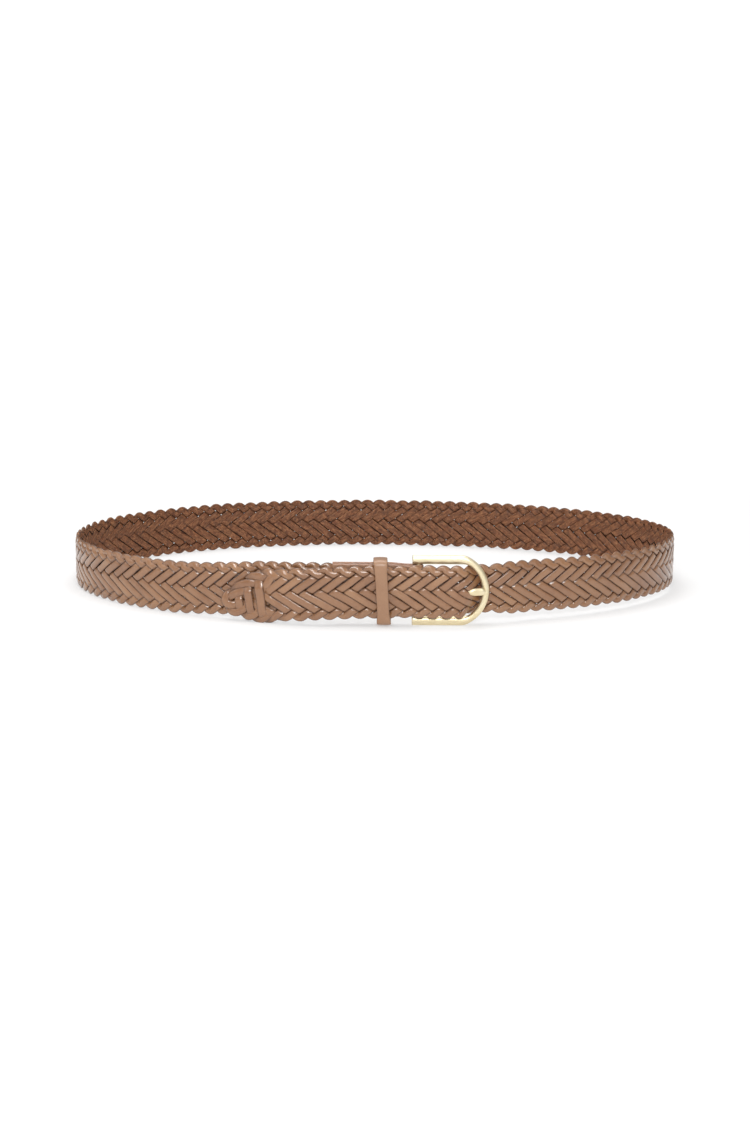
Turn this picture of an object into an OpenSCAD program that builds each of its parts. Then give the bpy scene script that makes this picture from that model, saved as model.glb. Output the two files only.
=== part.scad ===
/* [Strap] */
// Width of the finished braid, which is the belt's nominal width
strap_w = 31; // [29:0.5:31]
// Half of the worn loop's length, side to side
loop_half_w = 185; // [160:1:215]
// Half of the worn loop's depth, front to back
loop_half_d = 105; // [95:1:130]
// How far the strap's lower edge stands off the table behind the buckle
buckle_lift = 5; // [4.8:0.1:6]
// Distance along the strap from the middle of the front to the free end
tip_overlap = 86; // [78:8:102]
// Length of the taper at the free end
taper_len = 28; // [20:1:40]

/* [Braid] */
// Width of one lace
lace_w = 3.7; // [3:0.1:3.8]
// Thickness of one lace
lace_t = 0.8; // [0.6:0.05:0.9]
// Distance along the belt between two neighbouring laces
lace_pitch = 8; // [7.5:0.1:9]
// Distance of a lace's middle from the braid's middle plane
weave_h = 0.62; // [0.6:0.01:0.75]

/* [Buckle] */
// Length of the frame, from its open end to its curved end
frame_len = 43.5; // [40:0.5:48]
// Height of the frame, outside
frame_h = 41; // [40.5:0.1:42]
// Height of each arm of the frame
arm_w = 5.2; // [4.8:0.1:5.2]
// Thickness of the frame, front to back
frame_t = 4; // [3.5:0.1:4]
// Width of the frame's curved end bar
end_bar_w = 4; // [3:0.1:4.5]
// Radius of the bar that the strap and the prong hang on
bar_r = 1.25; // [1:0.05:1.3]
// Height of the prong, along the bar
prong_w = 4.3; // [3:0.1:4.5]
// Thickness of the prong
prong_t = 2; // [1.6:0.1:2]

/* [Leather fittings] */
// Thickness of the leather of the tab and the keeper
leather_t = 1.3; // [1:0.1:1.4]
// Height of the folded tab
tab_h = 30; // [27:0.5:30]
// Width of the keeper, along the belt
keeper_w = 7; // [5:0.5:9]
// Height of the keeper, outside
keeper_h = 38; // [36:0.5:38.5]

/* [Hidden] */
$fn = 64;

leather_colour = [0.62, 0.47, 0.34];
tab_colour = [0.6, 0.45, 0.32];
thread_colour = [0.5, 0.36, 0.25];
brass_colour = [0.8, 0.7, 0.5];

// The bar's place along X, and how far the frame's arms reach past it
bar_x = 25;
arm_past_bar = 3.5;
frame_x0 = bar_x - arm_past_bar;
frame_x1 = frame_x0 + frame_len;
middle_z = buckle_lift + strap_w / 2;

// ---- layers across the front, counted outwards from the loop's oval ----
braid_half_t = weave_h + lace_t / 2;
tab_gap = 3.2;
tab_half_t = tab_gap / 2 + leather_t;
outer_layer = 4.5;
tip_layer = 3.2;
frame_gap = 1.9;
behind_frame = -frame_t / 2 - braid_half_t - frame_gap;
stitch_proud = 0.2;
keeper_inside_n = [-tab_half_t - stitch_proud - 0.3, outer_layer + braid_half_t + 0.7];
keeper_front_n = keeper_inside_n[1] + leather_t;

// The oval's middle is set back so that the whole belt is centred on the origin
loop_y = (keeper_front_n - braid_half_t) / 2;
front_y = loop_y - loop_half_d;

// ---- smooth helpers ----
function smooth(a, b, x) = let (t = min(max((x - a) / (b - a), 0), 1)) t * t * (3 - 2 * t);
function bell(x, spread) = exp(-pow(x / spread, 2));

// ---- the loop: an oval walked from the middle of the front, towards +X ----
function oval_speed(a) = norm([loop_half_w * cos(a), loop_half_d * sin(a)]);
arc_table = [for (a = 0, s = 0; a <= 360; s = s + oval_speed(a + 0.5) * PI / 180, a = a + 1) [s, a]];
loop_len = arc_table[360][0];
function oval_angle(s) = lookup(s < 0 ? s + loop_len : s > loop_len ? s - loop_len : s, arc_table);
function oval_point(a) = [loop_half_w * sin(a), loop_y - loop_half_d * cos(a)];
function oval_out(a) = [loop_half_d * sin(a), -loop_half_w * cos(a)] / oval_speed(a);

// The buckle and the tab are straight, so beside them the strap leaves the oval
// by the oval's own rise behind the straight front
function signed(s) = s > loop_len / 2 ? s - loop_len : s;
function rise(w) = loop_half_d * (1 - cos(oval_angle(w)));
function straighten(w) = rise(w) * (w < 0 ? smooth(-70, -28, w) : 1 - smooth(60, 100, w));

// How far the strap's middle plane lies outside the oval: the free end lies over
// the other, dives behind the frame's end bar, and joins the oval behind it
dive = [43.5, 61.5];
function layer(s) =
    straighten(signed(s))
    + (s > 200 ? 0
       : tip_layer + (outer_layer - tip_layer) * smooth(-60, -25, s)
         + (behind_frame - outer_layer) * smooth(dive[0], dive[1], s)
         - behind_frame * smooth(64, 110, s));

// The strap is held up at the buckle and comes down to the table away from it
lift_reach = [115, loop_len / 2];
function lift(s) =
    let (w = signed(s),
         far = min(w < 0 ? -w / lift_reach[0] : w / lift_reach[1], 1))
    buckle_lift * (1 + cos(180 * far)) / 2;

// The braid narrows to its free end, and a little where it passes the frame
tip_share = 0.34;
squeeze = 0.12;
function narrowing(u) =
    let (s = u - tip_overlap)
    (tip_share + (1 - tip_share) * sin(90 * min(u / taper_len, 1)))
    * (1 - squeeze * (smooth(42, 52, s) - smooth(66, 80, s)));

// A point of the strap: u along it from its free end, z up from its middle line,
// n outwards from its middle plane
function strap_point(u, z, n) =
    let (s = u - tip_overlap, a = oval_angle(s),
         p = oval_point(a) + (layer(s) + n) * oval_out(a))
    [p[0], p[1], lift(s) + strap_w / 2 + z * narrowing(u)];

// ---- the braid: ten laces that run to and fro between the two edges ----
// Each lace crosses nine others on its way from one edge to the other
laces = 10;
step = lace_pitch / 2;
edge_z = strap_w / 2 - 1.8;
step_z = 2 * edge_z / laces;
lace_angle = atan2(step_z, step);
// Half of a crossing, as a share of one step
half_cell = lace_w / (4 * step * sin(lace_angle));
// At each step from the top edge down and up again: 1 over, -1 under, 0 the turn at an edge
weave = [0, 1, -1, -1, -1, 1, 1, 1, 1, -1, 0, 1, -1, -1, -1, -1, 1, 1, 1, -1];
// The long runs get a bend in their middle, to follow the loop
run_middles = [6, 13];
braid_end_s = -5;
strap_len = loop_len + braid_end_s + tip_overlap;
last_step = floor(strap_len / step) - 1;

// The prong goes through the braid between two crossings on its middle line.
// Laces on the free end's side pass in front of it, the others behind it.
prong_step = round((bar_x + 26 + tip_overlap) / lace_pitch) * 2;
prong_u = prong_step * step;
part_u = 3;
part_n = 1;
part_reach = [9, 4.5];

function parted(u, z, n, side) =
    let (b = side * bell(u - prong_u, part_reach[0]) * bell(z, part_reach[1]))
    strap_point(u + part_u * b, z, n - part_n * b);

// side is -1 for a pass that crosses the middle line before the prong, and 1 after
function pass_side(turn_step) = turn_step + laces / 2 < prong_step ? -1 : 1;

// One ring across a lace: its upper edge and its lower edge, each front and back
function ring(up, low, n, side) = [
    parted(up[0], up[1], n + lace_t / 2, side),
    parted(up[0], up[1], n - lace_t / 2, side),
    parted(low[0], low[1], n - lace_t / 2, side),
    parted(low[0], low[1], n + lace_t / 2, side)
];

// The ring at the edge of a crossing lies along the lace that crosses there
function crossing_ring(g, local, end) =
    let (down = local < laces, from_turn = (down ? local : local - laces) + end * half_cell,
         u = (g + end * half_cell) * step,
         z = (down ? 1 : -1) * (edge_z - step_z * from_turn),
         du = half_cell * step, dz = half_cell * step_z,
         side = pass_side(g - (down ? local : local - laces)))
    ring([u + (down ? du : -du), z + dz], [u - (down ? du : -du), z - dz],
         weave_h * weave[local], side);

function turn_ring(g, local) =
    let (z = local == 0 ? edge_z : -edge_z, inner = 2 * half_cell * step_z, outer = strap_w / 2)
    local == 0 ? ring([g * step, outer], [g * step, z - inner], 0, 1)
               : ring([g * step, z + inner], [g * step, -outer], 0, 1);

// Where the strap dives behind the frame every crossing is followed closely
fine = [dive[0] - 8, dive[1] + 8];
function is_fine(g) = let (s = g * step - tip_overlap) s > fine[0] && s < fine[1];
function local_step(g, k) = (g - 2 * k + 2 * laces * 100) % (2 * laces);
function starts_run(g, local) = is_fine(g) || weave[local] != weave[local - 1];
function ends_run(g, local) =
    is_fine(g) || weave[local] != weave[(local + 1) % (2 * laces)] || len(search(local, run_middles)) > 0;

function lace_rings(k) = [
    for (g = [1:last_step])
        let (local = local_step(g, k))
        each weave[local] == 0 ? [turn_ring(g, local)]
            : [if (g == 1 || starts_run(g, local)) crossing_ring(g, local, -1),
               if (g == last_step || ends_run(g, local)) crossing_ring(g, local, 1)]
];

// Two triangles for each side of each stretch, and two for each end
function tube_faces(count) = concat(
    [for (i = [0:count - 2], j = [0:3])
        let (a = 4 * i + j, b = 4 * i + (j + 1) % 4)
        each [[a, b, b + 4], [a, b + 4, a + 4]]],
    [[0, 2, 1], [0, 3, 2]],
    [let (e = 4 * (count - 1)) each [[e, e + 1, e + 2], [e, e + 2, e + 3]]]
);

module lace(k) {
    rings = lace_rings(k);
    color(leather_colour)
    difference() {
        polyhedron(points = [for (r = rings) each r], faces = tube_faces(len(rings)), convexity = 10);
        prong_way();
    }
}

// ---- the prong, drawn from the bar outwards, front is +n ----
eye_r = 2.6;
eye_clear = 0.1;
shaft_n = 1.1;
ramp_mid = prong_u - tip_overlap;
head_n = frame_t / 2 + 0.1 + prong_t / 2;
ramp_half = (head_n - shaft_n) / 2;
prong_tip_x = frame_x1 - 1.5;

// Puts a shape drawn in X and n where the buckle lies, middle plane at the oval's front
module at_buckle(z) translate([0, front_y, z]) mirror([0, 1, 0]) children();

// Side view of the prong: shaft, ramp through the braid, and head on the frame
module prong_side(grow) {
    half = prong_t / 2 + grow;
    polygon([
        [bar_x, shaft_n - half],
        [ramp_mid - ramp_half + half / 2, shaft_n - half],
        [ramp_mid + ramp_half + half / 2, head_n - half],
        [prong_tip_x + grow, head_n - half],
        [prong_tip_x + grow, head_n + half],
        [ramp_mid + ramp_half - half / 2, head_n + half],
        [ramp_mid - ramp_half - half / 2, shaft_n + half],
        [bar_x, shaft_n + half]
    ]);
}

// The clear way through the laces for the prong and its small swing
module prong_way() {
    grow = 0.75;
    at_buckle(middle_z - prong_w / 2 - grow / 2)
        linear_extrude(prong_w + grow)
            intersection() {
                prong_side(grow);
                translate([ramp_mid - 8, -10]) square([16, 20]);
            }
}

// ---- buckle ----
// The frame's outline, drawn in X and Z: a wide round crown that runs into the two
// arms by a smaller round at each corner. trim takes it in all round, for the edges.
crown_r = 22;
crown_x = frame_x1 - crown_r;
outer_corner_r = 12;
inner_corner_r = 8;

module d_shape(x0, half_h, big_r, corner_r) {
    rise = half_h - corner_r;
    reach = big_r - corner_r;
    corner_x = crown_x + sqrt(reach * reach - rise * rise);
    translate([x0, -half_h]) square([corner_x - x0, 2 * half_h]);
    for (side = [-1, 1])
        translate([corner_x, side * rise]) circle(corner_r);
    intersection() {
        translate([crown_x, 0]) circle(big_r);
        translate([crown_x, -rise * big_r / reach]) square([big_r, 2 * rise * big_r / reach]);
    }
}

module frame_outline(trim) {
    difference() {
        d_shape(frame_x0 + trim, frame_h / 2 - trim, crown_r - trim, outer_corner_r - trim);
        d_shape(frame_x0 - 5, frame_h / 2 - arm_w + trim, crown_r - end_bar_w + trim, inner_corner_r + trim);
    }
}

module buckle_frame() {
    bevel = 0.5;
    color(brass_colour)
    difference() {
        for (layer_of = [[0, frame_t - 2 * bevel], [bevel, frame_t]])
            translate([0, front_y + layer_of[1] / 2, frame_h / 2])
                rotate([90, 0, 0])
                    linear_extrude(layer_of[1]) frame_outline(layer_of[0]);
        bar_shape();
    }
}

module bar_shape() {
    sink = 3.8;
    translate([bar_x, front_y, arm_w - sink])
        cylinder(r = bar_r, h = frame_h - 2 * (arm_w - sink));
}

module buckle_bar() color(brass_colour) bar_shape();

module prong() {
    color(brass_colour)
    difference() {
        union() {
            intersection() {
                at_buckle(middle_z - prong_w / 2) linear_extrude(prong_w) prong_side(0);
                translate([0, front_y + 10, middle_z]) rotate([90, 0, 0]) linear_extrude(20) {
                    translate([bar_x, -prong_w / 2])
                        square([prong_tip_x - bar_x - prong_w / 2, prong_w]);
                    translate([prong_tip_x - prong_w / 2, 0]) circle(prong_w / 2);
                }
            }
            translate([bar_x, front_y, middle_z - prong_w / 2]) cylinder(r = eye_r, h = prong_w);
        }
        translate([bar_x, front_y, middle_z - prong_w])
            cylinder(r = bar_r + eye_clear, h = 2 * prong_w);
    }
}

// ---- the tab that holds the bar, folded round it and stitched over the braid's end ----
tab_end_x = -24;
slot_h = prong_w + 2.4;
slot_x = bar_x - 8;

module ply(n)
    translate([tab_end_x, front_y - n - leather_t, 0])
        cube([bar_x - tab_end_x, leather_t, tab_h]);

module buckle_tab() {
    color(tab_colour)
    difference() {
        translate([0, 0, middle_z - tab_h / 2]) {
            ply(tab_gap / 2);
            ply(-tab_gap / 2 - leather_t);
            difference() {
                translate([bar_x, front_y, 0]) cylinder(r = tab_half_t, h = tab_h);
                translate([bar_x, front_y, -1]) cylinder(r = tab_gap / 2, h = tab_h + 2);
                translate([bar_x - 2 * tab_half_t, front_y - tab_half_t, -1])
                    cube([2 * tab_half_t, 2 * tab_half_t, tab_h + 2]);
            }
        }
        translate([slot_x, front_y - 5, middle_z - slot_h / 2]) cube([20, 10, slot_h]);
    }
}

// ---- stitches: thread that lies on both faces of the tab and goes through it ----
stitch_pitch = 3;
thread_r = 0.35;

module stitch_row(x, count) {
    first = -(count - 1) / 2 * stitch_pitch;
    reach = tab_half_t + stitch_proud;
    color(thread_colour)
    translate([x, front_y, middle_z]) {
        for (i = [0:count - 1])
            translate([0, reach, first + i * stitch_pitch])
                rotate([90, 0, 0]) cylinder(r = thread_r, h = 2 * reach, $fn = 24);
        for (side = [-1, 1], i = [0:count - 2])
            if ((i + (side > 0 ? 1 : 0)) % 2 == 0)
                translate([-thread_r, side > 0 ? tab_half_t : -reach, first + i * stitch_pitch])
                    cube([2 * thread_r, stitch_proud, stitch_pitch]);
    }
}

module tab_stitches_bar() stitch_row(12, 9);
module tab_stitches_end() stitch_row(-19, 9);

// ---- the keeper: a loose loop of leather round both layers, closed with a staple ----
keeper_x = 4.4;
keeper_in = [keeper_inside_n[1] - keeper_inside_n[0], keeper_h - 2 * leather_t];
keeper_mid_n = (keeper_inside_n[0] + keeper_inside_n[1]) / 2;
keeper_z = 1.2 + keeper_h / 2;
keeper_round = 2;
butt_gap = 0.6;

module soft_corners(size, r) {
    square([size[0] - 2 * r, size[1]], center = true);
    square([size[0], size[1] - 2 * r], center = true);
    for (sx = [-1, 1], sy = [-1, 1])
        translate([sx * (size[0] / 2 - r), sy * (size[1] / 2 - r)]) circle(r);
}

module keeper() {
    wall = [2 * leather_t, 2 * leather_t];
    color(leather_colour)
    difference() {
        translate([keeper_x - keeper_w / 2, front_y - keeper_mid_n, keeper_z])
            rotate([90, 0, 90])
                linear_extrude(keeper_w)
                    difference() {
                        soft_corners(keeper_in + wall, keeper_round + leather_t);
                        soft_corners(keeper_in, keeper_round);
                    }
        translate([keeper_x - keeper_w, front_y - keeper_inside_n[0] - 1, keeper_z - butt_gap / 2])
            cube([2 * keeper_w, leather_t + 2, butt_gap]);
    }
}

module keeper_staple() {
    wire = 0.8;
    span = 5;
    color(brass_colour)
    translate([keeper_x - wire / 2, front_y - keeper_inside_n[0], keeper_z - span / 2]) {
        translate([0, leather_t, 0]) cube([wire, 0.5, span]);
        for (z = [0, span - wire])
            translate([0, 0.3, z]) cube([wire, leather_t, wire]);
    }
}

lace(0);  // strand_01
lace(1);  // strand_02
lace(2);  // strand_03
lace(3);  // strand_04
lace(4);  // strand_05
lace(5);  // strand_06
lace(6);  // strand_07
lace(7);  // strand_08
lace(8);  // strand_09
lace(9);  // strand_10
buckle_tab();
tab_stitches_bar();
tab_stitches_end();
keeper();
keeper_staple();
buckle_frame();
buckle_bar();
prong();
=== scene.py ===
"""A braided leather belt, buckled and standing on its edge in an oval loop."""
import math
from types import SimpleNamespace

import bpy
import numpy as np
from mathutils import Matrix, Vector


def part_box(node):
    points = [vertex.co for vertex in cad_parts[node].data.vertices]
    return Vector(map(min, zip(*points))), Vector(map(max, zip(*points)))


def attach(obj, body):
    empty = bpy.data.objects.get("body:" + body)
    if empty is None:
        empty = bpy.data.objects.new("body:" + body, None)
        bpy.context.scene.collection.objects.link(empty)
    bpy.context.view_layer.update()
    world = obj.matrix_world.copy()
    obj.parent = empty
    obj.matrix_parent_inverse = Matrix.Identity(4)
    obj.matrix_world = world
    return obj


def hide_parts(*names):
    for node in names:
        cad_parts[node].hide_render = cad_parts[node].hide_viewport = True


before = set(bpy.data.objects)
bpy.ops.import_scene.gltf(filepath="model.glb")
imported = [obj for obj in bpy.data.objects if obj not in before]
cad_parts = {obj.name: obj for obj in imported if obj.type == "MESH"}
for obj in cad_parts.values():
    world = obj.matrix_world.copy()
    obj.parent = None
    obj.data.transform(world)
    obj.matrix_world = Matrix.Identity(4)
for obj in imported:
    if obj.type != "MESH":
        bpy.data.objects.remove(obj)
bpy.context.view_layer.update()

MM = 0.001
STRANDS = [f"strand_{k:02d}" for k in range(1, 11)]


def mm_box(*nodes):
    """Lowest and highest corner of some CAD nodes together, in millimetres."""
    corners = [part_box(n) for n in nodes]
    return (np.min([c[0] for c in corners], 0) / MM, np.max([c[1] for c in corners], 0) / MM)


# ---- sizes in millimetres: the few that the frame doesn't tell, and then the frame's own ----
STRAP_W = 31.0
# Half the thickness of the CAD strap
CAD_HALF_T = 1.02
# How far the free end reaches past the middle of the front, and where the other end stops
TIP_OVERLAP = 86.0
BRAID_END = -5.0
# Plain leather's thickness, and the gap between the folded tab's two halves
LEATHER_T = 1.3
TAB_GAP = 3.2
_, strap_hi = mm_box(*STRANDS)
bar_lo, bar_hi = mm_box("buckle_bar")
frame_lo, frame_hi = mm_box("buckle_frame")
tab_lo, tab_hi = mm_box("buckle_tab")
keeper_lo, keeper_hi = mm_box("keeper")
prong_lo, prong_hi = mm_box("prong")

BAR_X = (bar_lo[0] + bar_hi[0]) / 2
FRONT_Y = (bar_lo[1] + bar_hi[1]) / 2
MIDDLE_Z = (frame_lo[2] + frame_hi[2]) / 2
BAR_R = (bar_hi[0] - bar_lo[0]) / 2
FRAME_T = frame_hi[1] - frame_lo[1]
FRAME_H = frame_hi[2] - frame_lo[2]
BUCKLE_LIFT = MIDDLE_Z - STRAP_W / 2
LOOP_W = strap_hi[0] - CAD_HALF_T
BACK_Y = strap_hi[1] - CAD_HALF_T
LOOP_D = (BACK_Y - FRONT_Y) / 2
LOOP_Y = (BACK_Y + FRONT_Y) / 2


# ---- helpers ----
def smooth(a, b, x):
    """From 0 at a to 1 at b, without corners."""
    t = np.clip((x - a) / (b - a), 0, 1)
    return t * t * (3 - 2 * t)


def bell(x, spread):
    """1 at 0, fading to either side over the spread."""
    return np.exp(-(x / spread) ** 2)


def wander(x, seed, wave):
    """A slow, smooth unevenness between about -1 and 1, the same on every run."""
    rng = np.random.default_rng(seed)
    total = np.zeros_like(x, dtype=float)
    for k in range(5):
        length = wave * rng.uniform(0.5, 1.8)
        total += np.sin(2 * math.pi * (x / length + rng.uniform()))
    return total / 3


# ---- the loop: an oval walked from the middle of the front, towards +X ----
TABLE_ANGLES = np.radians(np.linspace(0, 360, 1441))
SPEEDS = np.hypot(LOOP_W * np.cos(TABLE_ANGLES), LOOP_D * np.sin(TABLE_ANGLES))
ARCS = np.concatenate([[0], np.cumsum((SPEEDS[1:] + SPEEDS[:-1]) / 2 * np.diff(TABLE_ANGLES))])
LOOP_LEN = ARCS[-1]
STRAP_LEN = LOOP_LEN + BRAID_END + TIP_OVERLAP

# How far outside the inner layer the outer one lies: at the tip, by the buckle, and where
# it is behind the frame's end bar. It goes down along DIVE, its edges EDGE_EARLY sooner.
TIP_LAYER = 3.2
OUTER_LAYER = 4.5
BEHIND_FRAME = -FRAME_T / 2 - CAD_HALF_T - 1.9
DIVE = (49.5, 64.5)
EDGE_EARLY = 6.0
# Where the laces' middle lines turn, from the strap's middle line
EDGE_Z = 14.1
# Beyond this place along the loop the strap is the inner layer
INNER_FROM = 200.0


def oval_angle(s):
    """The oval's own angle at s along the loop, 0 in the middle of the front."""
    return np.interp(np.mod(s, LOOP_LEN), ARCS, TABLE_ANGLES)


def signed(s):
    """s along the loop, below 0 left of the middle of the front."""
    return np.where(s > LOOP_LEN / 2, s - LOOP_LEN, s)


def straighten(w):
    """Beside the straight tab and buckle the strap leaves the oval by the oval's own rise."""
    rise = LOOP_D * (1 - np.cos(oval_angle(w)))
    return rise * np.where(w < 0, smooth(-70, -28, w), 1 - smooth(60, 100, w))


def layer(s, z=0.0):
    """How far the strap's middle plane lies outside the oval. Its edges go behind the
    frame's corners before its middle goes behind the end bar."""
    early = EDGE_EARLY * (z / EDGE_Z) ** 2 * bell(s - DIVE[1], 16)
    over = (TIP_LAYER + (OUTER_LAYER - TIP_LAYER) * smooth(-60, -25, s)
            + (BEHIND_FRAME - OUTER_LAYER) * smooth(*DIVE, s + early)
            - BEHIND_FRAME * smooth(64, 110, s))
    return straighten(signed(s)) + np.where(s > INNER_FROM, 0, over)


# How far the whole braid is raised, and how far the free end sinks at its tip and its buckle
BRAID_LIFT = 0.25
TIP_DROOP = 1.9
BUCKLE_DROOP = 0.1


def lift(s):
    """The strap is held up at the buckle. Its free end hangs lower than the end under it."""
    w = signed(s)
    down = BUCKLE_LIFT * (1 + np.cos(math.pi * np.clip(w / (LOOP_LEN / 2), 0, 1))) / 2
    inner = s > INNER_FROM
    held = BUCKLE_LIFT * smooth(-125, np.where(inner, -45, -5), w)
    droop = TIP_DROOP * (1 - smooth(-75, 30, w)) + BUCKLE_DROOP * bell(w - 30, 25)
    return np.where(w < 0, held, down) - np.where(inner, 0, droop) + BRAID_LIFT


def squeeze(s):
    """The braid is narrower where it passes through the buckle."""
    return 1 - 0.08 * (smooth(46, 56, s) - smooth(66, 80, s))


def stretch(u):
    """The braid was pulled a little longer near its free end."""
    return u + 1.7 + 4.1 * np.clip((u - 5) / 95, 0, 1) - 1.2 * smooth(100, 140, u)


def strap_point(u, z, n):
    """u along the strap from its free end, z up from its middle line, n outwards."""
    s = u - TIP_OVERLAP
    a = oval_angle(s)
    speed = np.hypot(LOOP_W * np.cos(a), LOOP_D * np.sin(a))
    out = layer(s, z) + n
    x = LOOP_W * np.sin(a) + out * LOOP_D * np.sin(a) / speed
    y = LOOP_Y - LOOP_D * np.cos(a) - out * LOOP_W * np.cos(a) / speed
    return np.stack([x, y, lift(s) + STRAP_W / 2 + z * squeeze(s)], -1)


# ---- the braid: ten laces that run to and fro between the two edges ----
LACES = 10
ROUND_TRIP = 2 * LACES
# From one crossing to the next: along, up, the angle and the way along the lace
STEP = 4.0
STEP_Z = 2 * EDGE_Z / LACES
SLOPE = math.atan2(STEP_Z, STEP)
STEP_LEN = math.hypot(STEP, STEP_Z)
# The laces turn at the edges round this radius, over this share of a step
TURN_R = 2.7
TURN_HALF = TURN_R * math.tan(SLOPE) / STEP_LEN
# Upwards, the braid's pattern shifts towards the free end by this share
LEAN = 0.091
LACE_W = 4.35
LACE_T = 1.15
# The laces are wider at the tip, one of them more so
TIP_WIDER = {8: 1.2}
TIP_WIDE = 1.08
# How far the laces rise and sink at crossings, and how far a crossing leans across a lace
WEAVE_H = 0.83
SKEW = 1 / (math.tan(2 * SLOPE) * STEP_LEN)
# Within this share of a step from a turn a lace goes over from one face to the other
TURN_SHARE = 0.62
# At each step from the top edge down and up again: 1 over, -1 under, 0 the turn
WEAVE = np.array([0, 1, -1, -1, -1, 1, 1, 1, 1, -1, 0, 1, -1, -1, -1, -1, 1, 1, 1, -1])
# The crossing that the prong opens, which lies about this far past the bar
PRONG_REACH = 26.0
PRONG_STEP = round((BAR_X + PRONG_REACH + TIP_OVERLAP) / (2 * STEP)) * 2
# From ring to ring along a lace
RING = 0.75


def lattice(k, g):
    """Lace k's middle line at step g: along and up."""
    local = np.mod(g - 2 * k, ROUND_TRIP)
    near_top = np.where(local > LACES * 1.5, local - ROUND_TRIP, local)
    top = np.abs(near_top) < LACES / 2
    x = np.where(top, near_top, local - LACES)
    sign = np.where(top, 1, -1)
    bend = np.clip(x / TURN_HALF, -1, 1) * SLOPE
    turned = np.abs(x) < TURN_HALF
    z = np.where(turned, EDGE_Z - TURN_R / math.cos(SLOPE) + TURN_R * np.cos(bend),
                 EDGE_Z - STEP_Z * np.abs(x))
    u = g * STEP + np.where(turned, TURN_R * np.sin(bend) - x * STEP, 0)
    return u, sign * z


def weave_level(k, g, v):
    """Over (1) or under (-1) across lace k at step g, at v towards its upper edge.
    The change from one to the other runs along the laces that cross there."""
    local = np.mod(g - 2 * k, ROUND_TRIP)
    lean = -np.clip(local / 0.5, -1, 1)
    lean = np.where(local > LACES / 2, np.clip((local - LACES) / 0.5, -1, 1), lean)
    lean = np.where(local > LACES * 1.5, -np.clip((local - ROUND_TRIP) / 0.5, -1, 1), lean)
    at = np.mod(local + lean * SKEW * v, ROUND_TRIP)
    base = np.floor(at).astype(int)
    here, there = WEAVE[base % ROUND_TRIP], WEAVE[(base + 1) % ROUND_TRIP]
    level = here + (there - here) * smooth(0.2, 0.8, at - base)
    for turn in (0, LACES, ROUND_TRIP):
        x = at - turn
        after = WEAVE[(turn + 1) % ROUND_TRIP]
        turned = np.abs(x) < TURN_SHARE
        level = np.where(turned, after * (2 * smooth(-TURN_SHARE, TURN_SHARE, x) - 1), level)
    return level


# The free end is closed: its ten ends are five laces, each folded in two. These are the
# laces' routes from where they hide to where they join the braid: along, up, level.
TIP_ROUTES = {
    0: [(-0.6, -3.0, -1), (0.8, -1.7, -0.2), (3, -0.1, 0.9), (5.7, 1.2, 1), (9.1, 2.1, 0.5),
        (12.5, 1.9, -0.9), (14.8, 1.4, -0.6), (18, 0.8, -0.2), (20.4, -0.3, 0.4)],
    1: [(2.7, 2.0, -1), (6.0, 4.9, 0), (9.5, 6.4, 1), (13, 6.6, 0.9), (15.6, 6.2, 0.2),
        (19.0, 4.7, -0.4)],
    2: [(11.2, 8.0, -1), (13.6, 9.8, -0.2), (16.4, 10.4, 1), (19.5, 10.0, 1),
        (22.4, 8.8, -0.6)],
    3: [(18.4, 8.6, -1), (20.3, 11.0, -0.7)],
    4: [(3.4, 1.0, -1), (8, -0.4, -0.9), (13, -0.8, -1), (16, -0.3, -0.8), (18.3, 0.8, -0.8),
        (20.5, 2.9, 0.2), (22.8, 6.3, 1), (24.9, 9.4, 0.6), (27.2, 11.4, -0.8)],
    5: [(0.0, -3.6, -1), (0.2, -6.4, -0.9), (1.2, -8.2, 0), (3.2, -9.4, 0.7), (5.6, -9.6, 1),
        (8.5, -8.3, 1), (10.6, -6.9, 0.3), (13, -5.3, -0.5), (16, -3.3, -0.5), (19, -1.1, -0.9),
        (21.3, 0.7, -0.6)],
    6: [(5.8, 2.0, -1), (6.2, 0.2, -0.2), (6.5, -2.5, 1.3), (6.8, -4.2, 1.2), (7.0, -6.8, 0.8),
        (7.5, -8.5, -0.6), (8.8, -10.3, -0.9), (11.8, -11.9, 0.4), (15.0, -10.8, 1),
        (17.4, -8.8, 0.1), (20.5, -5.3, -1)],
    7: [(11.2, 7.3, -1), (11.6, 5.2, -0.2), (11.9, 1.6, 1.8), (12.3, -2, 1.7), (12.9, -7, 1.7),
        (13.4, -9.4, 0.8), (14.2, -11.2, -0.7), (16, -12.8, -0.8), (18.7, -13.4, 0.3),
        (21.6, -12.3, 1), (24.2, -10.2, 0.6)],
    8: [(17.6, 9.8, -1), (17.9, 7.9, 0.4), (18.2, 3.4, 2.0), (18.7, 0, 1.9), (19.4, -6, 1.9),
        (20.2, -10.3, 1.5), (21.0, -12.3, -0.4), (22.8, -13.2, -0.9)],
    9: [(3.4, 1.0, -1), (1.2, 1.1, -0.8), (-0.5, 0.2, 0.3), (-1.6, -1.7, 0.9), (-1.2, -4.0, 1),
        (0.5, -5.3, 1), (2.6, -5.5, 1), (4.4, -5.3, 0.4), (6.6, -5.1, -0.6), (9.3, -5.0, -0.2),
        (12.5, -5.2, -0.5), (15.5, -5.8, 0.2), (18.5, -6.8, 0.0), (21.3, -8.0, 1),
        (24.2, -9.5, 1), (28, -11.7, -0.9)],
}
# The routes are drawn for laces that turn 13.2 mm from the middle line
ROUTE_SCALE = EDGE_Z / 13.2
ROUTE_PLACES = 40
# The step at which each lace has joined the braid
JOIN_STEP = {0: 6, 1: 6, 2: 7, 3: 6, 4: 8, 5: 6, 6: 6, 7: 6.5, 8: 6, 9: 8}


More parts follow.
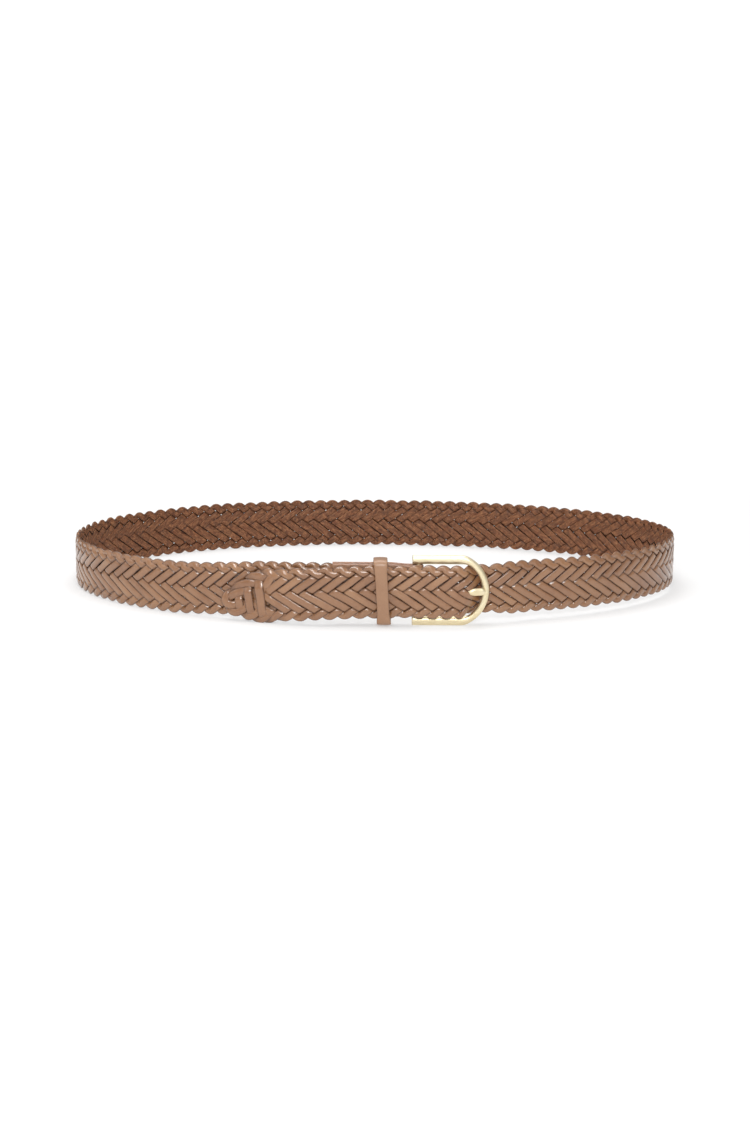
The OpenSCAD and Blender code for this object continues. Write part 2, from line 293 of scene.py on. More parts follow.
def through(points, count):
    """A smooth line through points, count places to each stretch, by Catmull and Rom."""
    p = np.vstack([2 * points[0] - points[1], points, 2 * points[-1] - points[-2]])
    t = np.linspace(0, 1, count, endpoint=False)[:, None]
    rows = []
    for a, b, c, d in zip(p[:-3], p[1:-2], p[2:-1], p[3:]):
        rows.append(0.5 * (2 * b + (c - a) * t + (2 * a - 5 * b + 4 * c - d) * t ** 2
                           + (3 * b - a - 3 * c + d) * t ** 3))
    return np.vstack(rows + [p[-2:-1]])


def leaned(u, z):
    """u with the pattern's lean."""
    return u - LEAN * z


def lace_line(k):
    """Lace k's middle line, evenly spaced: along, up, step in the braid, level at the tip."""
    first = JOIN_STEP[k]
    g = np.arange(first, STRAP_LEN / STEP - 0.2, 0.06)
    u, z = lattice(k, g)
    u = leaned(u, z)
    tip = np.array(TIP_ROUTES[k], float) * (1, ROUTE_SCALE, 1)
    lead = np.vstack([tip[:, :2], [[u[0], z[0]], [u[4], z[4]]]])
    ease = through(lead, ROUTE_PLACES)[:-ROUTE_PLACES]
    levels = np.append(tip[:, 2], weave_level(k, g[:1], 0))
    t = np.arange(len(ease)) / ROUTE_PLACES
    part = np.minimum(t.astype(int), len(levels) - 2)
    level = levels[part] + np.diff(levels)[part] * smooth(0, 1, t - part)
    u = np.concatenate([ease[:, 0], u[1:]])
    z = np.concatenate([ease[:, 1], z[1:]])
    steps = np.concatenate([np.full(len(ease) - 1, first), g])
    level = np.concatenate([level, np.zeros(len(g) - 1)])
    in_tip = np.concatenate([np.ones(len(ease)), np.zeros(len(g) - 1)])
    walked = np.concatenate([[0], np.cumsum(np.hypot(np.diff(u), np.diff(z)))])
    at = np.arange(0, walked[-1], RING)
    return [np.interp(at, walked, x) for x in (u, z, steps, level, in_tip)] + [at]


# Section of a lace, walked from its upper edge over the grain face to its lower edge and
# back over the flesh face: across and thickness as shares, and the face it belongs to.
GRAIN, CUT, FLESH = 1.0, 0.5, 0.0
SECTION = [(1.0, -0.1, CUT), (0.985, 0.3, CUT), (0.93, 0.62, GRAIN), (0.82, 0.83, GRAIN),
           (0.62, 0.95, GRAIN), (0.33, 1.0, GRAIN), (0.0, 1.0, GRAIN), (-0.33, 1.0, GRAIN),
           (-0.62, 0.95, GRAIN), (-0.82, 0.83, GRAIN), (-0.93, 0.62, GRAIN), (-0.985, 0.3, CUT),
           (-1.0, -0.1, CUT), (-0.98, -0.7, CUT), (-0.9, -0.96, FLESH), (-0.45, -1.0, FLESH),
           (0.0, -1.0, FLESH), (0.45, -1.0, FLESH), (0.9, -0.96, FLESH), (0.98, -0.7, CUT)]
# How far a lace's grain face bulges, and what its turns and its tip add to that
DOME = 0.22
TURN_DOME = 0.3
TIP_DOME = 0.3
# At the tip most places under other laces lie open to view, so they get less painted shade
TIP_SHADE = 0.35
# The laces turn over towards the strap's other face as they leave its edge, less so at the
# lower edge
TURN_SLOPE = 0.62
LOWER_TURN_SLOPE = 0.35
# How uneven a lace is: how much, a seed, and over what length
UNEVEN = {"width": (0.045, 10, 30), "side": (0.18, 70, 22), "slant": (0.08, 130, 14),
          "height": (0.06, 40, 9)}
# How far the laces left and right of the prong move along the strap, and in or out
PART_LEFT = (-1.6, 0.5)
PART_RIGHT = (2.2, -1.5)
PART_REACH = (9.0, 4.5)


def part_round_prong(grid, g, k):
    """The laces beside the prong make way: the free end's side in front, the rest behind."""
    turn = g - np.mod(g - 2 * k, LACES)
    left = (turn + LACES / 2 < PRONG_STEP)[:, None]
    centre = stretch(PRONG_STEP * STEP)
    near = bell(grid[..., 0] - centre, PART_REACH[0]) * bell(grid[..., 1], PART_REACH[1])
    grid[..., 0] += near * np.where(left, PART_LEFT[0], PART_RIGHT[0])
    grid[..., 2] += near * np.where(left, PART_LEFT[1], PART_RIGHT[1])


def uneven(kind, k, at):
    """Lace k's own unevenness of one kind along its length."""
    size, seed, wave = UNEVEN[kind]
    return size * wander(at, seed + k, wave)


def turned_over(outward, z):
    """The slope of a lace beside its turn, at a place that lies outward of its middle."""
    soft_maximum = (outward + np.sqrt(outward ** 2 + 0.8)) / 2
    return np.where(z > 0, 1, LOWER_TURN_SLOPE) * TURN_SLOPE * soft_maximum


def lace_points(k):
    """All points of lace k, ring by ring, how much painted shade each gets for lying under the
    other laces (0 on top, at most 1 right under), and how far along the lace each ring is."""
    u, z, g, tip_level, in_tip, at = lace_line(k)
    du, dz = np.gradient(u), np.gradient(z)
    speed = np.hypot(du, dz)
    up_u, up_z = -dz / speed, du / speed
    local = np.mod(g - 2 * k, LACES)
    from_turn = np.minimum(local, LACES - local)
    edge = bell(from_turn, 0.75) * (1 - in_tip)
    leg = bell(from_turn - 0.45, 0.6) * (1 - in_tip)
    bulge = DOME + TURN_DOME * edge + TIP_DOME * in_tip
    wider = 1 + (TIP_WIDER.get(k, TIP_WIDE) - 1) * in_tip
    half = LACE_W / 2 * wider * (1 + uneven("width", k, at))
    rows, levels = [], []
    for across, thick, _ in SECTION:
        v = across * half
        level = np.where(in_tip > 0.5, tip_level, weave_level(k, g, v * np.sign(up_z)))
        roll = leg * level * turned_over(v * np.sign(z) * np.sign(up_z) + 0.6, z)
        n = (WEAVE_H * level + thick * LACE_T / 2 + bulge * (1 - across ** 2) * (thick > 0)
             - roll + uneven("slant", k, at) * across + uneven("height", k, at) * (1 - in_tip))
        side = v + uneven("side", k, at)
        rows.append(np.stack([stretch(u + up_u * side), z + up_z * side, n], -1))
        levels.append(level if thick > -0.5 else -level)
    grid = np.stack(rows, 1)
    part_round_prong(grid, g, k)
    # Painted shade under the other laces: none near the turns, and less at the tip
    inside = np.where(in_tip > 0.5, TIP_SHADE, smooth(0.5, 1.1, from_turn))
    sunk = (1 - np.stack(levels, 1)) / 2 * inside[:, None]
    return strap_point(grid[..., 0], grid[..., 1], grid[..., 2]), sunk, at


# ---- meshes ----
def make_mesh(name, points, faces, materials, attributes=(), choose=None):
    """A smooth-shaded mesh object from points in millimetres."""
    mesh = bpy.data.meshes.new(name)
    mesh.from_pydata((np.asarray(points) * MM).tolist(), [], [list(map(int, f)) for f in faces])
    for label, values in attributes:
        layer_ = mesh.attributes.new(label, "FLOAT", "POINT")
        layer_.data.foreach_set("value", np.asarray(values, np.float32).ravel())
    for material in np.atleast_1d(materials):
        mesh.materials.append(material)
    if choose is not None:
        mesh.polygons.foreach_set("material_index", choose)
    mesh.polygons.foreach_set("use_smooth", np.ones(len(mesh.polygons), bool))
    mesh.update()
    obj = bpy.data.objects.new(name, mesh)
    bpy.context.scene.collection.objects.link(obj)
    return obj


def tube_faces(rings, around, closed=False):
    """Quads of a tube whose points run ring by ring, with its two ends filled."""
    i, j = np.meshgrid(np.arange(rings if closed else rings - 1), np.arange(around), indexing="ij")
    i, j = i.ravel(), j.ravel()
    a, b = i * around + j, i * around + (j + 1) % around
    c, d = ((i + 1) % rings) * around + (j + 1) % around, ((i + 1) % rings) * around + j
    faces = np.stack([a, b, c, d], -1).tolist()
    if not closed:
        faces.append(list(range(around))[::-1])
        faces.append([(rings - 1) * around + k for k in range(around)])
    return faces


def place(obj, body, slot, *nodes):
    """The piece moves with the body and stands for the CAD nodes."""
    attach(obj, body)
    if nodes:
        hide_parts(*nodes)
    return obj


# ---- materials ----
class Nodes:
    """Short words for building one material's nodes."""

    def __init__(self, name):
        self.material = bpy.data.materials.new(name)
        self.material.use_nodes = True
        self.tree = self.material.node_tree
        self.shader = self.tree.nodes["Principled BSDF"]

    def add(self, kind, inputs=(), **settings):
        node = self.tree.nodes.new("ShaderNode" + kind)
        for key, value in settings.items():
            setattr(node, key, value)
        for key, value in dict(inputs).items():
            self.put(node.inputs[key], value)
        return node

    def put(self, socket, value):
        if isinstance(value, bpy.types.NodeSocket):
            self.tree.links.new(value, socket)
        else:
            socket.default_value = value

    def attribute(self, name):
        return self.add("Attribute", attribute_name=name).outputs["Fac"]

    def math(self, operation, a, b=0.0):
        return self.add("Math", {0: a, 1: b}, operation=operation).outputs[0]

    def ramp(self, value, low, high, to_low=0.0, to_high=1.0):
        inputs = {"Value": value, "From Min": low, "From Max": high,
                  "To Min": to_low, "To Max": to_high}
        return self.add("MapRange", inputs).outputs["Result"]

    def mix(self, factor, a, b, blend="MIX"):
        node = self.add("Mix", data_type="RGBA", blend_type=blend)
        self.put(node.inputs[0], factor)
        self.put(node.inputs[6], a)
        self.put(node.inputs[7], b)
        return node.outputs[2]

    def noise(self, spot, scale, detail=3.0, rough=0.5):
        inputs = {"Vector": spot, "Scale": scale, "Detail": detail, "Roughness": rough}
        return self.add("TexNoise", inputs).outputs["Fac"]

    def spot(self):
        return self.add("TexCoord").outputs["Object"]

    def vector(self, x, y, z):
        return self.add("CombineXYZ", {"X": x, "Y": y, "Z": z}).outputs[0]

    def shade(self, **sockets):
        for key, value in sockets.items():
            self.put(self.shader.inputs[key.replace("_", " ")], value)

    def bump(self, height, strength, distance):
        inputs = {"Height": height, "Strength": strength, "Distance": distance}
        self.shade(Normal=self.add("Bump", inputs).outputs["Normal"])


def colour(red, green, blue):
    """A colour given as it looks on a screen, 0 to 255."""
    share = [c / 255 for c in (red, green, blue)]
    linear = [c / 12.92 if c <= 0.04045 else ((c + 0.055) / 1.055) ** 2.4 for c in share]
    return (*linear, 1.0)


FLESH_LIGHT = colour(176, 126, 86)


def leather_marks(m):
    """What a leather's looks vary with: what its mesh tells of each point, and noises."""
    at = m.spot()
    marks = SimpleNamespace(**{key: m.attribute(key) for key in
                               ("face", "tone", "along", "across", "sunk")})
    marks.broad = m.noise(at, 60, 2)
    marks.blotch = m.noise(at, 420, 4, 0.6)
    marks.speck = m.noise(at, 1700, 3, 0.6)
    cells = m.add("TexVoronoi", {"Vector": at, "Scale": 2300.0}, feature="F1")
    marks.pores = cells.outputs["Distance"]
    drawn_out = m.vector(m.math("MULTIPLY", marks.along, 0.16),
                         m.math("MULTIPLY", marks.across, 1.9),
                         m.math("MULTIPLY", marks.tone, 37.0))
    marks.streak = m.noise(drawn_out, 1.0, 5, 0.65)
    return marks


def grain_colour(m, marks, tones, rim_burnish_and_shade):
    """The smooth face: it varies in broad patches, from piece to piece and in specks."""
    grain, dark, _, cut = tones
    shade = m.mix(m.ramp(marks.broad, 0.35, 0.65, 0.0, 0.6), grain, dark)
    shade = m.mix(m.ramp(marks.tone, 0, 1, 0.0, 0.55), shade, dark)
    shade = m.mix(m.ramp(marks.speck, 0.35, 0.7, 0.0, 0.3), shade, dark)
    shade = m.mix(m.ramp(marks.blotch, 0.45, 0.75, 0.0, 0.35), shade, grain)
    # The rims darken towards the cut tone: burnished edges, and on the laces also painted shade of
    # the gaps between them
    return m.mix(m.math("MULTIPLY", rim_burnish_and_shade, 0.8), shade, cut)


def flesh_colour(m, marks, tones):
    """The raw face and the cut edges: streaked, the raw face blotched and specked as well."""
    _, _, flesh, cut = tones
    light = m.mix(0.65, flesh, FLESH_LIGHT)
    shade = m.mix(m.ramp(marks.streak, 0.42, 0.62, 0.0, 0.9), flesh, light)
    shade = m.mix(m.ramp(marks.blotch, 0.35, 0.6, 0.6, 0.0), shade, cut)
    shade = m.mix(m.ramp(marks.speck, 0.58, 0.7, 0.0, 0.5), shade, light)
    edge = m.mix(m.ramp(marks.streak, 0.4, 0.62), cut, light)
    return m.mix(m.ramp(marks.face, 0.05, 0.4), shade, edge)


def leather(name, tones, rim_at, rough=0.4, coat=0.3, specular=0.5):
    """Leather with a smooth grain face, cut edges and a raw, streaky flesh face. Its rims, rim_at
    millimetres off its middle line, are darker: burnished edges, and on the laces also painted
    shade of the gaps between them. tones: grain, dark, flesh and cut.
    It reads where a point lies: "face" (grain 1, cut edge 0.5, flesh 0), "along" and "across" the
    piece in millimetres, "tone", which differs from piece to piece, and a painted shade, which
    darkens it towards the cut tone where it dips under something."""
    m = Nodes(name)
    marks = leather_marks(m)
    # Darker rims: burnished edges, and on the laces also painted shade of the gaps between them
    rim_burnish_and_shade = m.ramp(m.math("ABSOLUTE", marks.across), rim_at - 0.6, rim_at)
    body = m.mix(m.ramp(marks.face, 0.6, 0.95), flesh_colour(m, marks, tones),
                 grain_colour(m, marks, tones, rim_burnish_and_shade))
    # Painted shade: darker towards the cut tone where the piece dips under something
    body = m.mix(m.ramp(marks.sunk, 0.12, 0.6, 0.0, 0.85), body, tones[-1])
    roughness = m.math("ADD", m.ramp(marks.face, 0.3, 0.9, 0.55, rough),
                       m.ramp(marks.blotch, 0.3, 0.7, -0.05, 0.06))
    m.shade(Base_Color=body, Roughness=roughness, IOR=1.5, Specular_IOR_Level=specular,
            Coat_Weight=coat, Coat_Roughness=0.2)
    fine = m.math("MULTIPLY", m.math("ADD", marks.pores, marks.speck), 0.5)
    raw = m.math("MULTIPLY", m.ramp(marks.face, 0.6, 0.2), m.math("MULTIPLY", marks.streak, 2.0))
    smooth_part = m.math("ADD", fine, m.math("MULTIPLY", marks.blotch, 0.9))
    m.bump(m.math("ADD", smooth_part, raw), 0.35, 0.00022)
    return m.material


def brass(name):
    """Pale satin brass with faint brushing and a slightly darker tone in places."""
    m = Nodes(name)
    at = m.spot()
    cloud = m.noise(at, 90, 3)
    drawn_out = m.add("Mapping", {"Vector": at, "Scale": (120.0, 900.0, 1500.0)})
    brushed = m.noise(drawn_out.outputs[0], 1.0, 4, 0.65)
    body = m.mix(m.ramp(cloud, 0.35, 0.65), colour(236, 221, 184), colour(244, 232, 200))
    body = m.mix(m.ramp(brushed, 0.35, 0.65, 0.0, 0.25), body, colour(216, 196, 152))
    m.shade(Base_Color=body, Metallic=1.0, Roughness=m.ramp(brushed, 0.3, 0.7, 0.4, 0.5))
    m.bump(brushed, 0.1, 0.00005)
    return m.material


def thread(name):
    """Twisted thread with a little fluff."""
    m = Nodes(name)
    round_it = m.math("MULTIPLY", m.attribute("across"), 0.9)
    spiral = m.math("ADD", m.attribute("along"), round_it)
    wave = {"Vector": m.vector(spiral, 0.0, 0.0), "Scale": 1.1}
    twist = m.add("TexWave", wave).outputs["Fac"]
    fluff = m.noise(m.spot(), 3000, 3)
    body = m.mix(twist, colour(96, 66, 46), colour(150, 112, 82))
    body = m.mix(m.ramp(fluff, 0.4, 0.7, 0.0, 0.4), body, colour(170, 134, 104))
    m.shade(Base_Color=body, Roughness=0.7, Sheen_Weight=0.25)
    m.bump(m.math("ADD", twist, m.math("MULTIPLY", fluff, 0.4)), 0.5, 0.0001)
    return m.material


# Tones: grain, dark, flesh and cut
LACE_TONES = (colour(157, 115, 80), colour(126, 84, 53), colour(100, 53, 27), colour(44, 19, 8))
TAB_TONES = (colour(158, 118, 90), colour(138, 99, 72), colour(112, 70, 46),
             colour(158, 122, 106))
KEEPER_TONES = (colour(160, 122, 92), colour(142, 103, 74), colour(112, 70, 46),
                colour(84, 50, 33))
LACE_GRAIN = leather("lace_leather_grain", LACE_TONES, LACE_W / 2, rough=0.33, coat=0.8)
LACE_FLESH = leather("lace_leather_flesh", LACE_TONES, LACE_W / 2, coat=0.0, specular=0.35)
TAB_LEATHER = leather("tab_leather", TAB_TONES, (tab_hi[2] - tab_lo[2]) / 2, rough=0.45)
KEEPER_LEATHER = leather("keeper_leather", KEEPER_TONES, rim_at=3.7, coat=0.35)
BRASS = brass("satin_brass")
THREAD = thread("waxed_thread")


# ---- the laces ----
def build_laces():
    """Each lace is one mesh with two materials, for its grain and its flesh face."""
    rng = np.random.default_rng(7)
    across = np.array([a for a, _, _ in SECTION]) * LACE_W / 2
    faces = np.array([f for _, _, f in SECTION])
    under = (np.maximum(faces, np.roll(faces, -1)) <= CUT).astype(int)
    for k in range(LACES):
        points, sunk, at = lace_points(k)
        rings, around = points.shape[:2]
        tone = np.clip(rng.uniform(0.1, 0.9) + 0.4 * wander(at, 100 + k, 60), 0, 1)
        reads = [("face", np.tile([f for _, _, f in SECTION], rings)),
                 ("tone", np.repeat(tone, around)), ("along", np.repeat(at, around)),
                 ("across", np.tile(across, rings)), ("sunk", sunk)]
        choose = np.append(np.tile(under, rings - 1), [0, 0])
        lace = make_mesh(f"lace_{k + 1:02d}", points.reshape(-1, 3), tube_faces(rings, around),
                         [LACE_GRAIN, LACE_FLESH], reads, choose)
        place(lace, "strap", "lace_leather", STRANDS[k])


# ---- the buckle's frame: a rounded bar bent to a D, open at the bar it hangs on ----
ARM_W = 5.2
END_BAR_W = 4.0
# The end bar's outer radius, how far it passes the CAD one, and the corners' radii
CROWN_R = 22.0
FRAME_PAST = 0.5
OUTER_CORNER_R = 9.4
INNER_CORNER_R = 8.4
# The arms' ends are this much smaller, which rounds them off
ARM_END = 0.86


def d_outline(half_h, crown_r, corner_r):
    """Half-way round an outline of the D: along X and up, from an arm's end to the other's."""
    crown_x = frame_hi[0] + FRAME_PAST - CROWN_R
    rise, reach = half_h - corner_r, crown_r - corner_r
    corner_x = crown_x + math.sqrt(reach ** 2 - rise ** 2)
    meet = math.atan2(rise, corner_x - crown_x)
    arm_len = corner_x - frame_lo[0]
    arm = frame_lo[0] + np.concatenate([[0.0, 0.35], np.linspace(0.8, arm_len, 14)])
    corner = np.linspace(math.pi / 2, meet, 12)[1:]
    crown = np.linspace(meet, 0, 14)[1:]
    x = np.concatenate([arm, corner_x + corner_r * np.cos(corner),
                        crown_x + crown_r * np.cos(crown)])
    z = np.concatenate([np.full(len(arm), half_h), rise + corner_r * np.sin(corner),
                        crown_r * np.sin(crown)])
    return np.stack([np.append(x, x[-2::-1]), np.append(z, -z[-2::-1])], -1)


def rounded(count, power):
    """A rounded section, between a circle (power 2) and a square (a high power)."""
    a = np.linspace(0, 2 * math.pi, count, endpoint=False) + math.pi / count
    c, s = np.cos(a), np.sin(a)
    return (np.sign(c) * np.abs(c) ** (2 / power), np.sign(s) * np.abs(s) ** (2 / power))


def build_frame():
    """A rounded section carried between the D's outer and inner outline."""
    outer = d_outline(FRAME_H / 2, CROWN_R, OUTER_CORNER_R)
    inner = d_outline(FRAME_H / 2 - ARM_W, CROWN_R - END_BAR_W, INNER_CORNER_R)
    middle, half = (outer + inner) / 2, (outer - inner) / 2
    c, d = rounded(28, 2.3)
    shrink = np.ones(len(middle))
    shrink[[0, -1]] = ARM_END
    flat = middle[:, None] + half[:, None] * c[None, :, None] * shrink[:, None, None]
    y = FRONT_Y - FRAME_T / 2 * d[None] * shrink[:, None]
    points = np.stack([flat[..., 0], y, MIDDLE_Z + flat[..., 1]], -1)
    rings, around = points.shape[:2]
    obj = make_mesh("frame_d", points.reshape(-1, 3), tube_faces(rings, around), BRASS)
    place(obj, "buckle", "brass", "buckle_frame")


# ---- the prong: an eye round the bar, a shaft that rises through the braid, a round head ----
PRONG_W = prong_hi[2] - prong_lo[2]
PRONG_T = 2.0
EYE_R = BAR_X - prong_lo[0]
EYE_PLAY = 0.12
# How far out its middle lies at the eye, and at the head, which rests on the end bar
SHAFT_N = 1.1
HEAD_N = FRAME_T / 2 + 0.2 + PRONG_T / 2
# Where it rises and widens, and how high, where and how long its hump is
PRONG_RISE = (45.0, 56.0)
PRONG_TAPER = (50.5, 57.5)
PRONG_HUMP = (1.3, 55.0, 4.5)
PRONG_END = frame_hi[0] - 2.0


def shaft_points():
    """The shaft and its head, ring by ring from the eye."""
    half_w = PRONG_W / 2
    turn = np.linspace(0, math.pi / 2, 12)
    x = np.concatenate([np.linspace(BAR_X + BAR_R + 0.4, PRONG_END - half_w, 60),
                        PRONG_END - half_w + half_w * np.sin(turn[1:])])
    high, at, reach = PRONG_HUMP
    n = SHAFT_N + (HEAD_N - SHAFT_N) * smooth(*PRONG_RISE, x) + high * bell(x - at, reach)
    near_end = np.clip((x - (PRONG_END - half_w)) / half_w, 0, 0.995)
    wide = half_w * np.sqrt(1 - near_end ** 2) * (0.2 + 0.8 * smooth(*PRONG_TAPER, x))
    thick = PRONG_T / 2 * (1 - 0.3 * near_end ** 2)
    tilt = np.arctan(np.gradient(n, x))
    c, d = rounded(24, 2.2)
    lean = thick[:, None] * d[None]
    px = x[:, None] - lean * np.sin(tilt)[:, None]
    py = FRONT_Y - n[:, None] - lean * np.cos(tilt)[:, None]
    pz = MIDDLE_Z + wide[:, None] * c[None]
    return np.stack([px, py, pz], -1)


def eye_points():
    """The eye, as a ring of rounded section turned round the bar."""
    a = np.linspace(0, 2 * math.pi, 40, endpoint=False)
    c, d = rounded(24, 4.0)
    hole_r = BAR_R + EYE_PLAY
    r = (EYE_R + hole_r) / 2 + (EYE_R - hole_r) / 2 * c
    z = MIDDLE_Z + PRONG_W / 2 * d
    return np.stack([BAR_X + r[None] * np.cos(a)[:, None], FRONT_Y + r[None] * np.sin(a)[:, None],
                     np.broadcast_to(z, (len(a), len(z)))], -1)


def build_prong():
    """The shaft and the eye in one mesh."""
    shaft, eye = shaft_points(), eye_points()
    points = np.vstack([shaft.reshape(-1, 3), eye.reshape(-1, 3)])
    faces = tube_faces(*shaft.shape[:2])
    first = shaft.shape[0] * shaft.shape[1]
    faces += [[first + i for i in f] for f in tube_faces(*eye.shape[:2], closed=True)]
    obj = make_mesh("prong_tongue", points, faces, BRASS)
    place(obj, "prong", "brass", "prong")


# ---- the keeper: a strip bent round both layers, its ends butted and stapled inside ----
# Its width half-way up and at its ends, how it leans, and how far its front bulges
KEEPER_W = (7.0, 8.1)
KEEPER_TILT = math.tan(math.radians(3.5))
KEEPER_BOW = 1.5
# Its corners' radius, and the gap between its two ends
KEEPER_R = 2.3
BUTT_GAP = 0.6


def keeper_path():
    """Round the strip's middle from its butt joint: n outwards and z, and the way walked."""
    half_n = (keeper_hi[1] - keeper_lo[1] - LEATHER_T) / 2
    half_z = (keeper_hi[2] - keeper_lo[2] - LEATHER_T) / 2
    r = KEEPER_R
    stops = [(-half_n, BUTT_GAP / 2)]
    for side_n, side_z, start in ((-1, 1, math.pi), (1, 1, math.pi / 2), (1, -1, 0.0),
                                  (-1, -1, -math.pi / 2)):
        for a in np.linspace(start, start - math.pi / 2, 9):
            stops.append((side_n * (half_n - r) + r * math.cos(a),
                          side_z * (half_z - r) + r * math.sin(a)))
    stops.append((-half_n, -BUTT_GAP / 2))
    path = np.array(stops)
    lengths = np.concatenate([[0], np.cumsum(np.hypot(*np.diff(path, axis=0).T))])
    at = np.arange(0, lengths[-1], 0.5)
    path = np.stack([np.interp(at, lengths, path[:, i]) for i in (0, 1)], -1)
    path[:, 0] += KEEPER_BOW * (path[:, 0] > 0) * (1 - np.abs(path[:, 1] / half_z) ** 2.5)
    return path, at


def build_keeper():
    """A thin strip's section carried round the keeper's path."""
    path, at = keeper_path()
    heading = np.gradient(path, axis=0)
    heading /= np.hypot(*heading.T)[:, None]
    out = np.stack([-heading[:, 1], heading[:, 0]], -1)
    middle_n = -(keeper_lo[1] + keeper_hi[1]) / 2
    middle_z = (keeper_lo[2] + keeper_hi[2]) / 2
    middle_x = (keeper_lo[0] + keeper_hi[0]) / 2
    bend = smooth(0.6, 1.0, np.abs(path[:, 1]) / np.max(path[:, 1]))
    wide = (KEEPER_W[0] + (KEEPER_W[1] - KEEPER_W[0]) * bend + 0.12 * wander(at, 3, 25)) / 2
    c, d = rounded(28, 4.5)
    bulge = 0.18 * (1 - c ** 2) * (d > 0)
    x = middle_x - KEEPER_TILT * path[:, 1][:, None] + wide[:, None] * c[None]
    thick = (LEATHER_T / 2 * d + bulge)[None, :, None] * out[:, None]
    flat = path[:, None] + thick
    points = np.stack([x, -(middle_n + flat[..., 0]), middle_z + flat[..., 1]], -1)
    rings, around = points.shape[:2]
    face = np.clip(0.5 + 0.75 * d, 0, 1)
    reads = [("face", np.tile(face, rings)), ("tone", np.full(rings * around, 0.3)),
             ("along", np.repeat(at, around)), ("across", np.tile(KEEPER_W[0] / 2 * c, rings))]
    obj = make_mesh("keeper_band", points.reshape(-1, 3), tube_faces(rings, around),
                    KEEPER_LEATHER, reads)
    place(obj, "keeper", "keeper_leather", "keeper")


# ---- the tab: a slotted piece folded round the bar and stitched over the braid's end ----
# The slot for the prong: where it starts, and half its height
TAB_SLOT = (BAR_X - 8.0, PRONG_W / 2 + 1.2)
# Over the braid the tab is this much higher than beside the bar
TAB_RISE = 0.8


def tab_path():
    """Along the folded piece's middle: x, n outwards, and the way its grain faces."""
    r = TAB_GAP / 2 + LEATHER_T / 2
    straight = np.arange(tab_lo[0], BAR_X, 0.5)
    turn = np.linspace(math.pi / 2, -math.pi / 2, 19)[1:-1]
    x = np.concatenate([straight, BAR_X + r * np.cos(turn), straight[::-1]])
    n = np.concatenate([np.full(len(straight), r), r * np.sin(turn), np.full(len(straight), -r)])
    out = np.concatenate([[[0, 1]] * len(straight), np.stack([np.cos(turn), np.sin(turn)], -1),
                          [[0, -1]] * len(straight)])
    return x, n, out


def build_tab():
    """Two grids of points, the grain face and the flesh face, joined along every edge."""
    x, n, out = tab_path()
    half_h = (tab_hi[2] - tab_lo[2]) / 2
    edge = half_h - np.array([0.0, 0.25, 0.6, 1.3, 2.0])
    z = np.unique(np.concatenate([-edge, edge, np.linspace(-half_h + 3, half_h - 3, 14),
                                  [-TAB_SLOT[1], TAB_SLOT[1]]]))
    at = np.concatenate([[0], np.cumsum(np.hypot(np.diff(x), np.diff(n)))])
    round_off = 0.32 * smooth(half_h - 0.65, half_h, np.abs(z)) ** 2
    crease = 0.12 * bell(np.abs(z) - (half_h - 1.6), 0.22)
    halves = (LEATHER_T / 2 - crease - round_off, -LEATHER_T / 2 + round_off)
    grids = []
    for half in halves:
        off = half[None, :, None] * out[:, None]
        px = np.broadcast_to(x[:, None], off.shape[:2]) + off[..., 0]
        py = FRONT_Y - (n[:, None] + off[..., 1])
        rise = TAB_RISE * (1 - smooth(8, 20, px)) * smooth(0, half_h, z)[None]
        grids.append(np.stack([px, py, MIDDLE_Z + z[None] + rise], -1))
    rows, columns = len(x), len(z)
    mid_x, mid_z = (x[1:] + x[:-1]) / 2, (z[1:] + z[:-1]) / 2
    open_ = (mid_x > TAB_SLOT[0])[:, None] & (np.abs(mid_z) < TAB_SLOT[1])[None]
    faces = slab_faces(rows, columns, ~open_)
    half_count = rows * columns
    edge_face = np.where(np.abs(z) > half_h - 0.3, 0.5, 1.0)
    reads = [("face", np.concatenate([np.tile(edge_face, rows), np.tile(1 - edge_face, rows)])),
             ("tone", np.full(2 * half_count, 0.35)),
             ("along", np.tile(np.repeat(at, columns), 2)), ("across", np.tile(z, 2 * rows))]
    obj = make_mesh("tab_folded", np.vstack([g.reshape(-1, 3) for g in grids]), faces,
                    TAB_LEATHER, reads)
    place(obj, "strap", "tab_leather", "buckle_tab")


def slab_faces(rows, columns, solid):
    """Faces of two stacked grids over the solid cells, with walls round every opening."""
    below = rows * columns
    padded = np.pad(solid, 1)
    faces = []
    for i, j in zip(*np.nonzero(solid)):
        a, b = i * columns + j, i * columns + j + 1
        c, d = a + columns + 1, a + columns
        faces.append([d, c, b, a])
        faces.append([below + a, below + b, below + c, below + d])
        sides = ((padded[i, j + 1], a, b), (padded[i + 2, j + 1], c, d),
                 (padded[i + 1, j], d, a), (padded[i + 1, j + 2], b, c))
        faces += [[p, q, below + q, below + p] for filled, p, q in sides if not filled]
    return faces


# ---- stitches: waxed thread that lies on the tab and dips into a hole at each end ----
STITCH_PITCH = 3.0
STITCH_HOLES = 9
THREAD_R = 0.34
# How deep a stitch dips at its ends
STITCH_DIP = 0.75


def stitch_points(x, side, low):
    """One stitch on one face of the tab, from hole to hole."""
    t = np.linspace(0, 1, 15)
    surface = TAB_GAP / 2 + LEATHER_T
    n = surface - STITCH_DIP + (STITCH_DIP + THREAD_R * 0.05) * np.sin(math.pi * t) ** 0.45
    z = low + STITCH_PITCH * (0.06 + 0.88 * t)
    a = np.linspace(0, 2 * math.pi, 10, endpoint=False)
    lean = 0.25 * (t - 0.5)
    px = x + lean[:, None] + THREAD_R * np.cos(a)[None]
    slope = np.arctan2(np.gradient(n), np.gradient(z))
    pn = n[:, None] + THREAD_R * np.sin(a)[None] * np.cos(slope)[:, None]
    pz = z[:, None] - THREAD_R * np.sin(a)[None] * np.sin(slope)[:, None]
    return np.stack([px, FRONT_Y - side * pn, MIDDLE_Z + pz], -1), t, a


